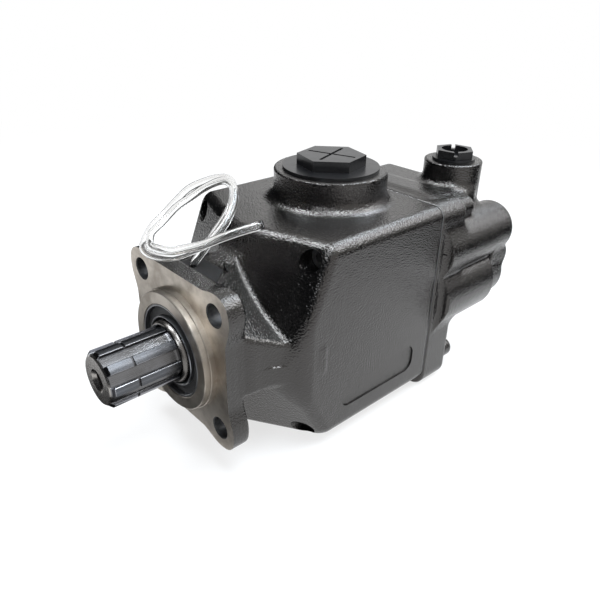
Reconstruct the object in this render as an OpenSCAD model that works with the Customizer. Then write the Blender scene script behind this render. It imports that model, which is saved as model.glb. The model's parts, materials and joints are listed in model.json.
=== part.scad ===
// Variable-displacement axial-piston pump with a four-hole flange and a splined shaft.
// Origin: centre of the pilot on the flange's mounting face. The shaft points along -Y, +Z is up.

/* [Flange] */
// Spacing of the four flange holes, across and up
flange_pitch = 80; // [78:0.5:82]
// Diameter of each flange hole
flange_hole_d = 14; // [12:0.5:15]
// Radius of the rounded ear round each flange hole
ear_r = 13; // [12:0.5:14]
// Thickness of the flange
flange_t = 12.5; // [11:0.5:14]
// Distance from the axis to the waisted side and bottom edges
flange_waist = 49.4; // [48.6:0.2:51]
// Distance from the axis to the straight top edge
flange_top = 52; // [50:0.5:52.5]
// Diameter of the locating pilot
pilot_d = 80; // [78:0.5:82]
// Height of the pilot in front of the flange face
pilot_h = 8; // [6:0.5:9]
// How far the pilot's nose is turned down
pilot_relief = 0.8; // [0.4:0.1:1.5]

/* [Housing] */
// Thickness of the housing's side walls beside the chamber
side_wall = 10; // [9.5:0.5:12]
// Height of the housing's top face above the axis
body_top = 72; // [71:0.5:73]
// Depth of the housing's bottom face below the axis
body_bottom = 69; // [68:0.5:70]
// Radius of the housing's long edges
body_edge_r = 8; // [5:0.5:9]
// Distance from the flange face to the rear cover
seam_y = 172; // [171:0.5:176]
// Distance from the flange face to the front wall of the chamber
chamber_y = 56; // [54:0.5:56.5]
// Distance from the flange face to the peak of the upper front faces
upper_peak = 14.4; // [13:0.1:16]
// Backward slope of the upper front faces to the side
upper_side_slope = 0.35; // [0.32:0.01:0.38]
// Backward slope of the upper front faces upwards
upper_rise_slope = 0.41; // [0.39:0.01:0.43]
// Distance from the flange face to the peak of the lower front faces, behind it if positive
lower_peak = -10; // [-11.5:0.5:-8.5]
// Backward slope of the lower front faces to the side
lower_side_slope = 0.63; // [0.6:0.01:0.65]
// Backward slope of the lower front faces downwards
lower_rise_slope = 0.51; // [0.49:0.01:0.53]
// Radius of the two lower hollows in the neck behind the flange ears
neck_hollow_r = 63.3; // [62:0.1:64]
// Distance of the lower hollows' axes from the shaft axis, across and down
neck_hollow_at = 74.8; // [74.5:0.1:76]
// Radius of the two upper hollows in the neck
scoop_r = 116; // [110:2:124]
// Distance of the upper hollows from the shaft axis, at the flange
scoop_at = 59.9; // [59:0.1:61]
// Angle by which the upper hollows deepen to the rear
scoop_tilt = 20.2; // [19:0.2:21.4]
// Angle by which the upper hollows turn upwards to the rear
scoop_turn = 25.7; // [24:0.1:27]
// Angle of the upper hollows from straight up
scoop_heading = 50.6; // [49:0.2:52]
// Distance from the axis to the neck's flanks, at the flange
neck_half_w = 52; // [51.5:0.5:53]
// Height of the neck's top above the axis, at the flange
neck_top = 50; // [49:0.5:51]
// Radius of the flare where the flanks run into the housing
flank_flare_r = 54; // [48:1:58]
// Radius of the flare where the neck's top and bottom run into the housing
top_flare_r = 22.7; // [22:0.1:23.5]
// Depth of the marking panel in the side
panel_depth = 1; // [0.5:0.1:1.5]
// Length of the marking panel
panel_l = 75; // [65:1:80]
// Height of the marking panel
panel_h = 22; // [16:1:24]

/* [Suction port] */
// Distance from the flange face to the suction port's axis
suction_y = 128; // [127:0.5:129]
// Diameter of the suction boss
suction_boss_d = 78.6; // [76:0.2:80]
// Height of the suction boss's face above the axis
suction_top = 92.7; // [90:0.1:95]
// Radius of the fillet at the suction boss's foot
suction_fillet = 8; // [4:0.5:9]
// Bore of the suction port
suction_bore_d = 46; // [44:0.5:48]
// Diameter of the plastic plug's collar
suction_collar_d = 66.6; // [62:0.2:70]
// Width across flats of the plug's hexagon
suction_hex = 41; // [36:0.5:44]
// Height of the plug's top above the boss's face
suction_plug_h = 9; // [7:0.5:12]

/* [Shaft and seals] */
// Distance from the flange face to the shaft's tip
shaft_out = 55.6; // [54:0.1:58]
// Outer diameter of the splined end
spline_d = 36; // [35:0.5:37]
// Diameter at the root of the splines
spline_root_d = 32; // [31:0.5:33]
// Width of one spline
spline_w = 6; // [5:0.5:7]
// Number of splines
spline_count = 8; // [6:1:8]
// Diameter of the thread hole in the shaft's tip
tip_bore_d = 10.2; // [8:0.2:12]
// Diameter of the shaft under the seals and the front bearing
journal_d = 40; // [39:0.5:41]
// Diameter of the shaft inside the cylinder block
core_d = 34; // [33:0.5:35]
// Outer diameter of the two shaft seals
seal_od = 62; // [61:0.5:63]
// Width of one shaft seal
seal_w = 7; // [6:0.5:7.5]
// Width of the leak ring between the seals
leak_ring_w = 8; // [7:0.5:9]
// Distance from the flange face to the first seal
seal_y = 3; // [2.5:0.5:4]

/* [Bearings] */
// Outer diameter of the front bearing
front_od = 68; // [67.5:0.5:69]
// Width of the front bearing
front_w = 19; // [18:0.5:20]
// Outer diameter of the rear bearing
rear_od = 55; // [54:0.5:56]
// Bore of the rear bearing
rear_id = 30; // [29:0.5:31]
// Width of the rear bearing
rear_w = 17; // [16:0.5:17.5]
// Rollers in each bearing
roller_count = 14; // [10:1:15]
// Tilt of the rollers' axes
roller_tilt = 12; // [10:0.5:13]

/* [Rotating group] */
// Diameter of the circle that the pistons stand on
piston_pitch_d = 76; // [75:0.5:77]
// Number of pistons
piston_count = 9; // [7:1:9]
// Diameter of a piston
piston_d = 20; // [18:0.5:20.5]
// Diameter of a piston's ball
ball_d = 14; // [13:0.5:14.5]
// Diameter of a slipper's foot
slipper_d = 22; // [20:0.5:23]
// Diameter of a slipper's socket
socket_d = 17; // [16.5:0.5:18]
// Distance from the swashplate's face to the balls' centres
slipper_h = 8; // [7.5:0.5:8.5]
// Distance from the flange face to the swashplate's tilt axis
pivot_y = 96; // [95:0.5:97]
// Thickness of the cylinder block's wall outside the pistons
block_wall = 5; // [4.5:0.25:5.5]
// Distance from the flange face to the cylinder block
block_y = 107; // [106:0.5:109]
// Radius of the swashplate's two rocking lobes
lobe_r = 36; // [35:0.5:36.5]
// Thickness of the swashplate's disc
swash_t = 9; // [8:0.5:10]
// Thickness of the cradle's bearing shells
shell_t = 1.5; // [1:0.1:2]
// Thickness of the valve plate
valve_plate_t = 6; // [5:0.5:7]
// Diameter of the valve plate
valve_plate_d = 96; // [92:1:100]

/* [Rear cover] */
// Thickness of the cover's plate
cover_t = 28; // [27:0.5:30]
// Depth of the cover's bottom edge below the axis
cover_bottom = 78; // [76:0.5:79]
// Length of the bosses behind the cover's plate for the long screws
screw_boss_h = 17; // [15:0.5:18]
// Outer diameter of the control cylinder
control_od = 43; // [41:0.5:44]
// Bore of the control cylinder
control_bore_d = 24; // [22:0.5:25]
// Outer diameter of the regulator's cylinder
regulator_od = 58; // [56:0.5:59]
// Distance from the flange face to the regulator body
regulator_y = 239; // [238:0.5:242]
// Length of the regulator body
regulator_l = 25; // [24:0.5:27]
// Diameter of the pressure port's tower
port_tower_d = 43.2; // [42:0.2:45]
// Height of the pressure port's face above the axis
port_top = 88; // [86:0.5:90]
// Bore of the pressure port
port_bore_d = 24; // [22:0.5:25]
// Width across flats of the pressure plug's hexagon
port_hex = 25.3; // [23:0.1:26]

/* [Screws] */
// Thread diameter of the four long screws
screw_d = 8; // [6:0.5:10]
// Head diameter of the long screws
screw_head_d = 13; // [12:0.5:13.2]
// Distance of the long screws from the middle, across
screw_x = 55; // [54.4:0.1:55.4]
// Distance of the long screws from the axis, up
screw_z = 61.4; // [60.5:0.1:61.6]
// Distance from the flange face to the seats of the long screws' heads
screw_seat_y = 74; // [72:0.5:76]

/* [Regulator parts] */
// Diameter of the spool
spool_d = 14; // [13:0.5:15]
// Travel of the spool
spool_travel = 3; // [2:0.5:4]
// Wire diameter of the regulator spring
spring_wire = 3; // [2.5:0.1:3.2]
// Outer diameter of the regulator spring
spring_od = 22; // [20:0.5:24]
// Diameter of the adjusting screw
adjuster_d = 10; // [8:0.5:10]

/* [Leak line] */
// Outer diameter of the clear tube
tube_d = 5; // [4:0.5:5]
// Height of the leak block's top above the axis
leak_top = 50; // [49:0.5:51]

/* [Fits] */
// Radial running clearance of the bearings, pistons and spools
run_fit = 0.03; // [0.02:0.01:0.06]
// Gap between the cylinder block and the chamber's wall
block_gap = 4; // [3.5:0.25:4.5]
// Clearance of parts that are only put together
loose_fit = 0.2; // [0.15:0.05:0.4]

/* [Hidden] */
$fn = 72;
eps = 0.01;
block_d = piston_pitch_d + piston_d + 2 * block_wall;
chamber_d = block_d + 2 * block_gap;
body_w = chamber_d + 2 * side_wall;
body_half = body_w / 2;
gasket_t = 0.5;
bottom_flare_r = 11.3;
top_flare_dip = 0.3;
top_flare_half_w = 9;
flare_y = flange_t - 2;
hidden_far = 200;
panel_foot = -51;
panel_r = 8;
bore_wall = 7;

// Seal stack, from the first seal to the bearing
leak_ring_y = seal_y + seal_w;
inner_seal_y = leak_ring_y + leak_ring_w;
seal_end_y = inner_seal_y + seal_w;
lip_t = 3;
front_y = seal_end_y + lip_t;
front_end_y = front_y + front_w;
seal_lip_gap = 0.05;
leak_y = leak_ring_y + leak_ring_w / 2;
leak_hole_d = 5;

// Swashplate, cradle and slippers
face_y = pivot_y - slipper_h;
seat_r = lobe_r + shell_t + 2 * run_fit;
cradle_y = chamber_y;
cradle_top_y = face_y - swash_t - 3;
cradle_hole_d = 56;
lobe_x0 = 22;
lobe_x1 = chamber_d / 2 - 12;
swash_r = 50;
swash_hole_d = 44;
arm_w = 15;
retainer_t = 3.2;
foot_t = 2.6;
guide_r = 21;
guide_y0 = face_y + 1.6;
guide_y1 = block_y - 2;
slipper_end_y = pivot_y + 2.5;

// Cylinder block, valve plate and shaft steps
valve_y = seam_y - valve_plate_t;
block_end_y = valve_y - 0.05;
pin_d = 5;
bore_end_y = block_end_y - 10;
kidney_d = 11;
spring_pocket_d = 48;
spring_pocket_y = block_y + 30;
piston_end_y = pivot_y + 52;
rear_y = seam_y + 4;
rear_end_y = rear_y + rear_w;
shaft_end_y = rear_end_y + 1.5;
collar_y0 = front_end_y + 0.3;
collar_y1 = collar_y0 + 7;
collar_d = 50;
rib_count = 10;
rib_w = 5;
rib_h = 1.6;

// Control piston above right, bias piston below left
control_turn = 32.9;
control_reach = block_d / 2 + 9.5;
control_x = control_reach * cos(control_turn);
control_z = control_reach * sin(control_turn);
bias_reach = block_d / 2 + 8.3;
bias_x = -bias_reach * cos(33.7);
bias_z = -bias_reach * sin(33.7);
rod_d = 10;
rod_pocket_r = 8;
arm_pocket_r = 9;
control_bore_y = seam_y + 31;
control_head_y = control_bore_y + 10;
control_head_t = 14;

// Rear cover, pressure port and regulator
cover_y = seam_y;
cover_end_y = seam_y + cover_t;
cover_edge_r = 12;
screw_boss_d = 15.2;
port_x = 30;
port_y = 229;
port_channel_d = 14;
port_channel_z = 28;
tower_foot_z = 56;
port_drop_d = 12;
regulator_x = 46.5;
regulator_z = -3.5;
regulator_end_y = regulator_y + regulator_l;
control_end_d = 41;
regulator_end_d = 48;
side_boss_x = 69;
side_boss_y = 252.5;
side_boss_z = 13;
side_boss_d = 24;
spool_y0 = cover_end_y - 12;
spool_y1 = spool_y0 + 32;
spring_pocket2_d = 30;
spring_pocket2_y = spool_y1 - 4;
seat_t = 4;
reg_spring_y0 = spool_y1 + seat_t + 0.2;
adjuster_seat_t = 3;
adjuster_y0 = regulator_end_y - 12;
reg_spring_y1 = adjuster_y0 - adjuster_seat_t - 0.2;
nut_h = 6;
regulator_screw_d = 4;
regulator_seat_y = regulator_y + 12;

// Leak block and the free tube
leak_x = 4;
leak_depth = 14.3;
leak_y0 = flange_t + 0.2;
leak_pocket_z = 43;
tube_x = -4;
tube_y = 16;
tube_root_z = leak_pocket_z + 3;

module slab_y(y0, y1) {
  translate([0, y1, 0]) rotate([90, 0, 0]) linear_extrude(y1 - y0) children();
}

module bar(y0, y1, d, x = 0, z = 0, d2 = undef) {
  translate([x, y0, z]) rotate([-90, 0, 0])
    cylinder(h = y1 - y0, d1 = d, d2 = is_undef(d2) ? d : d2);
}

module ring(y0, y1, od, id) {
  difference() {
    bar(y0, y1, od);
    bar(y0 - 1, y1 + 1, id);
  }
}

module turned(y = 0, x = 0, z = 0) {
  translate([x, y, z]) rotate([-90, 0, 0]) rotate_extrude() children();
}

module rounded(x0, z0, x1, z1, r) {
  translate([x0 + r, z0]) square([x1 - x0 - 2 * r, z1 - z0]);
  translate([x0, z0 + r]) square([x1 - x0, z1 - z0 - 2 * r]);
  for (x = [x0 + r, x1 - r], z = [z0 + r, z1 - r]) translate([x, z]) circle(r);
}

module hex_prism(flats, h) {
  cylinder(h = h, r = flats / sqrt(3), $fn = 6);
}

// A round tube or wire through the points of a path, with closed ends
function unit(v) = v / norm(v);
function heading(p, i) = unit(p[min(i + 1, len(p) - 1)] - p[max(i - 1, 0)]);
function side_of(t, n) = unit(n - t * (n * t));
function frames(p, i, n) =
  i == len(p) ? []
    : let (t = heading(p, i), s = side_of(t, n)) concat([[s, cross(t, s)]], frames(p, i + 1, s));
module swept(p, d, sides, start) {
  f = frames(p, 0, start);
  n = len(p);
  ring_points = [for (i = [0 : n - 1], k = [0 : sides - 1])
    let (a = 360 * k / sides) p[i] + d / 2 * (cos(a) * f[i][0] + sin(a) * f[i][1])];
  walls = [for (i = [0 : n - 2], k = [0 : sides - 1])
    let (a = i * sides + k, b = i * sides + (k + 1) % sides)
    each [[a, a + sides, b + sides], [a, b + sides, b]]];
  first_end = [for (k = [0 : sides - 1]) k];
  last_end = [for (k = [sides - 1 : -1 : 0]) (n - 1) * sides + k];
  polyhedron(points = ring_points, faces = concat(walls, [first_end, last_end]));
}

module coil_spring(y0, y1, od, wire, turns, x = 0, z = 0) {
  r = (od - wire) / 2;
  steps = 12 * turns;
  rise = (y1 - y0 - wire) / steps;
  path = [for (i = [0 : steps]) [x + r * cos(30 * i), y0 + wire / 2 + rise * i, z + r * sin(30 * i)]];
  swept(path, wire, 6, [1, 0, 0]);
}

// Four-sided peak that opens to the rear, with its apex on the axis
module front_peak(apex, side_slope, rise_slope) {
  reach = hidden_far + abs(apex);
  x = reach / side_slope;
  z = reach / rise_slope;
  y = apex + reach;
  polyhedron(
    points = [[0, apex, 0], [x, y, 0], [0, y, z], [-x, y, 0], [0, y, -z]],
    faces = [[0, 2, 1], [0, 3, 2], [0, 4, 3], [0, 1, 4], [1, 2, 3, 4]]
  );
}

module flange_outline() {
  square(2 * flange_waist, center = true);
  half = flange_pitch / 2;
  translate([-half, 0]) square([flange_pitch, flange_top]);
  for (x = [-half, half], z = [-half, half]) translate([x, z]) circle(ear_r);
}

module neck() difference() {
  translate([1 - body_half, flange_t - eps, -body_bottom + 1])
    cube([body_w - 2, chamber_y - flange_t + eps, body_bottom + body_top - 2]);
  for (x = [-1, 1]) {
    bar(0, hidden_far, 2 * neck_hollow_r, x * neck_hollow_at, -neck_hollow_at);
    rotate([0, scoop_heading * x, 0]) translate([0, flange_t, scoop_at + scoop_r])
      rotate([0, 0, scoop_turn * x]) rotate([-90 - scoop_tilt, 0, 0])
        cylinder(h = 4 * body_w, r = scoop_r, center = true);
  }
  translate([0, flare_y, -flange_waist - bottom_flare_r]) rotate([0, 90, 0])
    cylinder(h = body_w, r = bottom_flare_r, center = true);
  translate([-body_half, 0, -body_half])
    cube([body_w, flare_y + bottom_flare_r - 0.3, body_half - flange_waist - bottom_flare_r]);
}

module housing_box() {
  intersection() {
    slab_y(0, seam_y - gasket_t) rounded(-body_half, -body_bottom, body_half, body_top, body_edge_r);
    union() {
      intersection() {
        front_peak(upper_peak, upper_side_slope, upper_rise_slope);
        translate([-body_half, 0, 0]) cube([body_w, hidden_far, body_top]);
      }
      intersection() {
        front_peak(lower_peak, lower_side_slope, lower_rise_slope);
        translate([-body_half, flange_t, -body_bottom]) cube([body_w, hidden_far, body_bottom + eps]);
      }
    }
  }
}

// What the flared flanks and the milled top leave out of the neck and the housing's front
module flares() {
  top_y = leak_y0 + leak_depth;
  for (s = [-1, 1]) translate([s * (neck_half_w + flank_flare_r), flare_y, 0])
    cylinder(h = 3 * body_w, r = flank_flare_r, center = true);
  translate([0, top_y, neck_top + top_flare_r - top_flare_dip]) rotate([0, 90, 0])
    cylinder(h = 2 * top_flare_half_w, r = top_flare_r, center = true);
  translate([-body_half, flange_t, neck_top]) cube([body_w, top_y - flange_t, hidden_far]);
}

module suction_boss() {
  r = suction_boss_d / 2;
  foot = body_top - 1;
  intersection() {
    translate([0, suction_y, 0]) rotate_extrude() {
      translate([0, chamber_d / 2]) square([r, suction_top - chamber_d / 2]);
      difference() {
        translate([r - eps, foot]) square([suction_fillet, suction_fillet + 1]);
        translate([r + suction_fillet, foot + 0.7 + suction_fillet]) circle(suction_fillet);
      }
    }
    translate([-body_half, 0, 0]) cube([body_w, seam_y - gasket_t, hidden_far]);
  }
}

module arm_outline(x, z, r) {
  reach = norm([x, z]);
  rotate(atan2(z, x)) translate([reach / 2, -0.8 * r]) square([reach / 2, 1.6 * r]);
  translate([x, z]) circle(r);
}

module main_housing() color("#26282a") difference() {
  union() {
    slab_y(0, flange_t) flange_outline();
    bar(-pilot_h / 2, flange_t, pilot_d);
    bar(-pilot_h, flange_t, pilot_d - 2 * pilot_relief);
    difference() {
      union() {
        neck();
        housing_box();
      }
      flares();
    }
    suction_boss();
  }
  // seal bore, front bearing seat and chamber
  bar(-pilot_h - 1, seal_end_y, seal_od);
  bar(seal_y - 2, seal_y - 0.2, seal_od + 4);
  bar(0, hidden_far, seal_od - 8);
  bar(front_y, hidden_far, front_od);
  bar(chamber_y, hidden_far, chamber_d);
  translate([0, suction_y, 0]) cylinder(h = hidden_far, d = suction_bore_d);
  // room for the swashplate's arms and for the control and bias rods
  slab_y(cradle_top_y - 1, pivot_y) {
    arm_outline(control_x, control_z, arm_pocket_r);
    arm_outline(bias_x, bias_z, arm_pocket_r);
  }
  bar(pivot_y - 1, hidden_far, 2 * rod_pocket_r, control_x, control_z);
  bar(pivot_y - 1, hidden_far, 2 * arm_pocket_r, bias_x, bias_z);
  flange_holes();
  for (x = [-screw_x, screw_x], z = [-screw_z, screw_z]) {
    bar(0, hidden_far, screw_d + 2 * loose_fit, x, z);
    bar(0, screw_seat_y, screw_head_d + 0.6, x, z);
  }
  // leak passage and the flat for the leak block
  translate([0, leak_y, 0]) cylinder(h = hidden_far, d = leak_hole_d);
  translate([0, 0, leak_pocket_z]) linear_extrude(hidden_far) leak_outline(loose_fit);
  side_panel();
}

module flange_holes() {
  half = flange_pitch / 2;
  for (x = [-half, half], z = [-half, half]) bar(-1, flange_t + 1, flange_hole_d, x, z);
}

module side_panel() {
  translate([body_half - panel_depth, suction_y - 48, 0]) rotate([90, 0, 90])
    linear_extrude(hidden_far) rounded(0, panel_foot, panel_l, panel_foot + panel_h, panel_r);
}

module leak_outline(grow) {
  y0 = flange_t - eps;
  polygon([
    [leak_x - 20 - grow, y0], [leak_x + 21 + grow, y0],
    [leak_x + 8 + grow, leak_y0 + leak_depth + grow], [leak_x - 15 - grow, leak_y0 + leak_depth + grow]
  ]);
}

module leak_block() color("#101112") difference() {
  translate([0, 0, leak_pocket_z]) intersection() {
    linear_extrude(leak_top - leak_pocket_z) leak_outline(0);
    translate([-body_half, leak_y0, 0]) cube([body_w, leak_depth, hidden_far]);
  }
  translate([tube_x, tube_y, tube_root_z]) cylinder(h = hidden_far, d = tube_d);
  translate([0, leak_y, 0]) cylinder(h = tube_root_z, d = leak_hole_d);
}

module leak_tube() color("#e8ecee") swept(tube_route, tube_d, 8, [1, 0, 0]);

module outer_seal() color("#1a1a1c") shaft_seal(seal_y);
module inner_seal() color("#1a1a1c") shaft_seal(inner_seal_y);
module shaft_seal(y) {
  ring_in = journal_d + 2 * seal_lip_gap;
  turned(y) difference() {
    translate([ring_in / 2, 0]) square([(seal_od - ring_in) / 2, seal_w]);
    translate([ring_in / 2 + 1.5, 1.5]) square([3, seal_w]);
    translate([ring_in / 2 - eps, 3.5]) square([1 + eps, seal_w]);
  }
}

module leak_ring() color("#9aa0a6") difference() {
  ring(leak_ring_y, inner_seal_y, seal_od, journal_d + 6);
  difference() {
    bar(leak_ring_y + 2, inner_seal_y - 2, seal_od + 2);
    bar(leak_ring_y + 1, inner_seal_y - 1, seal_od - 6);
  }
  for (a = [0 : 60 : 300]) translate([0, leak_y, 0]) rotate([0, a, 0]) cylinder(h = hidden_far, d = 3);
}

module seal_circlip() color("#6f7478") difference() {
  ring(seal_y - 1.9, seal_y - 0.3, seal_od + 3, seal_od - 6);
  translate([-4, -1, -seal_od]) cube([8, seal_y + 2, seal_od]);
}

// Tapered roller bearing: cup, cone, rollers and cage; lean = 1 narrows towards the shaft's tip
roller_d = 7;
function roller_mean(od, id) = (od + id) / 4;
function apex_of(od, id) = roller_mean(od, id) / tan(roller_tilt);
function half_taper(od, id) = atan(roller_d / 2 / (roller_mean(od, id) / sin(roller_tilt)));

module bearing_frame(y0, w, lean) {
  translate([0, y0 + w / 2, 0]) rotate([lean > 0 ? -90 : 90, 0, 0]) children();
}

// In the bearing's frame z runs from the narrow side to the wide one
module bearing_cup(y0, w, od, id, lean) {
  t = tan(roller_tilt + half_taper(od, id));
  a = apex_of(od, id);
  h0 = -w / 2 + 1;
  h1 = w / 2 - 1;
  bearing_frame(y0, w, lean) difference() {
    translate([0, 0, h0]) cylinder(h = h1 - h0, d = od);
    translate([0, 0, h0 - 1])
      cylinder(h = h1 - h0 + 2, r1 = (a + h0 - 1) * t + run_fit, r2 = (a + h1 + 1) * t + run_fit);
  }
}

module bearing_cone(y0, w, od, id, lean) {
  t = tan(roller_tilt - half_taper(od, id));
  a = apex_of(od, id);
  h = w / 2;
  rib = roller_len(w) / 2 * cos(roller_tilt) + 1;
  bearing_frame(y0, w, lean) difference() {
    union() {
      translate([0, 0, -h]) cylinder(h = w, r1 = (a - h) * t - run_fit, r2 = (a + h) * t - run_fit);
      translate([0, 0, rib]) cylinder(h = h - rib, r = (a + h) * t + 1.6);
      translate([0, 0, -h]) cylinder(h = h - rib, r = (a - h) * t + 1);
    }
    translate([0, 0, -h - 1]) cylinder(h = w + 2, d = id);
  }
}

function roller_len(w) = w - 6;

module roller_set(y0, w, od, id, lean, grow = 0) {
  a = apex_of(od, id);
  g = half_taper(od, id);
  reach = a / cos(roller_tilt);
  l0 = reach - roller_len(w) / 2 - grow;
  l1 = reach + roller_len(w) / 2 + grow;
  bearing_frame(y0, w, lean) for (i = [0 : roller_count - 1])
    translate([0, 0, -a]) rotate([0, 0, 360 * i / roller_count]) rotate([0, roller_tilt, 0])
      translate([0, 0, l0])
        cylinder(h = l1 - l0, r1 = l0 * tan(g) - run_fit + grow, r2 = l1 * tan(g) - run_fit + grow);
}

module bearing_cage(y0, w, od, id, lean) {
  a = apex_of(od, id);
  t = tan(roller_tilt + 0.6);
  h = w / 2 - 1.6;
  difference() {
    bearing_frame(y0, w, lean) difference() {
      translate([0, 0, -h]) cylinder(h = 2 * h, r1 = (a - h) * t + 1.1, r2 = (a + h) * t + 1.1);
      translate([0, 0, -h - 1]) cylinder(h = 2 * h + 2, r1 = (a - h - 1) * t - 0.1, r2 = (a + h + 1) * t - 0.1);
    }
    roller_set(y0, w, od, id, lean, 0.25);
  }
}

module front_cup() color("#b9bdc1") bearing_cup(front_y, front_w, front_od, journal_d, 1);
module front_cone() color("#c4c8cb") bearing_cone(front_y, front_w, front_od, journal_d, 1);
module front_rollers() color("#dfe2e4") roller_set(front_y, front_w, front_od, journal_d, 1);
module front_cage() color("#a58b55") bearing_cage(front_y, front_w, front_od, journal_d, 1);
module rear_cup() color("#b9bdc1") bearing_cup(rear_y, rear_w, rear_od, rear_id, -1);
module rear_cone() color("#c4c8cb") bearing_cone(rear_y, rear_w, rear_od, rear_id, -1);
module rear_rollers() color("#dfe2e4") roller_set(rear_y, rear_w, rear_od, rear_id, -1);
module rear_cage() color("#a58b55") bearing_cage(rear_y, rear_w, rear_od, rear_id, -1);

module spline_ribs(y0, y1, grow = 0) {
  for (i = [0 : rib_count - 1]) rotate([0, 360 * i / rib_count, 0])
    translate([-rib_w / 2 - grow, y0, 0]) cube([rib_w + 2 * grow, y1 - y0, core_d / 2 + rib_h + grow]);
}

module drive_shaft() color("#b4b7ba") difference() {
  spline_y = -6;
  chamfer = 1.6;
  union() {
    bar(-shaft_out, -shaft_out + chamfer, spline_d - 2 * chamfer, d2 = spline_d);
    bar(-shaft_out + chamfer, spline_y, spline_d);
    bar(spline_y - eps, spline_y + 1.5, spline_d + 2, d2 = journal_d);
    bar(spline_y + 1.5, collar_y0, journal_d);
    bar(collar_y0 - eps, collar_y1, collar_d);
    bar(collar_y1 - eps, rear_y - 2, core_d);
    spline_ribs(guide_y1 + 2, block_end_y - 20);
    bar(rear_y - 4, rear_y - 0.1, rear_id + 6);
    bar(rear_y - 2, shaft_end_y, rear_id);
  }
  // grooves between the splines, run out at the journal
  gap = 360 / spline_count;
  for (i = [0 : spline_count - 1]) rotate([0, gap * (i + 0.5), 0]) intersection() {
    difference() {
      bar(-shaft_out - 1, spline_y - 1.5, spline_d + 4);
      bar(-shaft_out - 2, spline_y, spline_root_d);
    }
    difference() {
      rotate([0, -gap / 2, 0]) translate([spline_w / 2, -shaft_out - 1, 0])
        cube([spline_d, shaft_out, spline_d]);
      rotate([0, gap / 2, 0]) translate([-spline_w / 2, -shaft_out - 2, -spline_d])
        cube([spline_d, shaft_out + 2, 2 * spline_d]);
    }
  }
  // groove across the splines, and the tip's thread hole with its countersink
  ring(-shaft_out + 17, -shaft_out + 18.4, spline_d + 2, spline_d - 2.4);
  bar(-shaft_out - 1, -shaft_out + 28, tip_bore_d);
  bar(-shaft_out - eps, -shaft_out + 2.2, tip_bore_d + 4.4, d2 = tip_bore_d);
}

module cradle() color("#5c6165") difference() {
  bar(cradle_y, cradle_top_y, chamber_d - 2 * loose_fit);
  translate([0, pivot_y, 0]) rotate([0, 90, 0]) cylinder(h = hidden_far, r = seat_r, center = true);
  bar(0, hidden_far, cradle_hole_d);
}

module cradle_shells() color("#b58a4a") for (s = [-1, 1]) intersection() {
  translate([s * (lobe_x0 + lobe_x1) / 2, pivot_y, 0]) rotate([0, 90, 0]) difference() {
    cylinder(h = lobe_x1 - lobe_x0, r = lobe_r + shell_t + run_fit, center = true);
    cylinder(h = hidden_far, r = lobe_r + run_fit, center = true);
  }
  translate([-body_half, 0, -body_half]) cube([body_w, cradle_top_y - 1, body_w]);
  difference() {
    translate([-body_half, 0, -body_half]) cube([body_w, hidden_far, body_w]);
    bar(0, hidden_far, cradle_hole_d);
  }
}

module swashplate() color("#8d9297") difference() {
  union() {
    slab_y(face_y - swash_t, face_y) {
      circle(swash_r);
      arm_outline(control_x, control_z, arm_w / 2);
      arm_outline(bias_x, bias_z, arm_w / 2);
    }
    for (s = [-1, 1]) intersection() {
      translate([s * (lobe_x0 + lobe_x1) / 2, pivot_y, 0]) rotate([0, 90, 0])
        cylinder(h = lobe_x1 - lobe_x0, r = lobe_r, center = true);
      translate([-body_half, 0, -body_half]) cube([body_w, face_y - 1, body_w]);
    }
  }
  bar(0, hidden_far, swash_hole_d);
}

module ball(r) {
  translate([0, pivot_y, 0]) rotate([-90, 0, 0]) sphere(r);
}

module at_piston(i) {
  rotate([0, 360 * (i - 1) / piston_count + 10, 0]) translate([0, 0, piston_pitch_d / 2]) children();
}

module slipper(i) color("#c59a4f") at_piston(i) difference() {
  union() {
    bar(face_y + run_fit, face_y + run_fit + foot_t, slipper_d);
    bar(face_y + run_fit, slipper_end_y, socket_d);
  }
  ball(ball_d / 2 + run_fit);
  bar(0, pivot_y, 1.5);
  bar(face_y, face_y + 0.8, socket_d - 5);
}

module piston(i) color("#aeb3b7") at_piston(i) difference() {
  neck_y = pivot_y + ball_d / 2 - 1.5;
  union() {
    ball(ball_d / 2);
    bar(neck_y - 1, neck_y + 4, ball_d * 0.6);
    bar(neck_y + 2, neck_y + 6, ball_d * 0.6, d2 = piston_d - 2 * run_fit);
    bar(neck_y + 6 - eps, piston_end_y, piston_d - 2 * run_fit);
  }
  bar(block_y + 12, hidden_far, piston_d * 0.6);
  bar(0, hidden_far, 1.5);
}

module retainer_plate() color("#7d8287") difference() {
  y0 = face_y + run_fit + foot_t + 0.1;
  ring(y0, y0 + retainer_t, piston_pitch_d + socket_d + 6, 2 * guide_r - 6);
  ball(guide_r + run_fit);
  for (i = [1 : piston_count]) at_piston(i) bar(0, hidden_far, socket_d + 1);
}

module ball_guide() color("#8f9499") difference() {
  union() {
    intersection() {
      ball(guide_r);
      bar(guide_y0, guide_y1, 4 * guide_r);
    }
    bar(guide_y1 - 2.5, guide_y1, spring_pocket_d - 2);
  }
  bar(0, hidden_far, core_d + 2 * run_fit);
}

module block_spring() color("#6e7377")
  coil_spring(guide_y1 + 0.3, spring_pocket_y - 0.3, spring_pocket_d - 1.6, 3.6, 4);

module cylinder_block() color("#9ba0a4") difference() {
  bar(block_y, block_end_y, block_d);
  bar(0, hidden_far, core_d + 2 * run_fit);
  spline_ribs(block_y - 1, block_end_y + 1, 0.05);
  bar(0, spring_pocket_y, spring_pocket_d);
  bar(block_end_y - 18, hidden_far, core_d + 12);
  for (i = [1 : piston_count]) at_piston(i) {
    bar(0, bore_end_y, piston_d);
    bar(0, hidden_far, kidney_d);
  }
}

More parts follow.
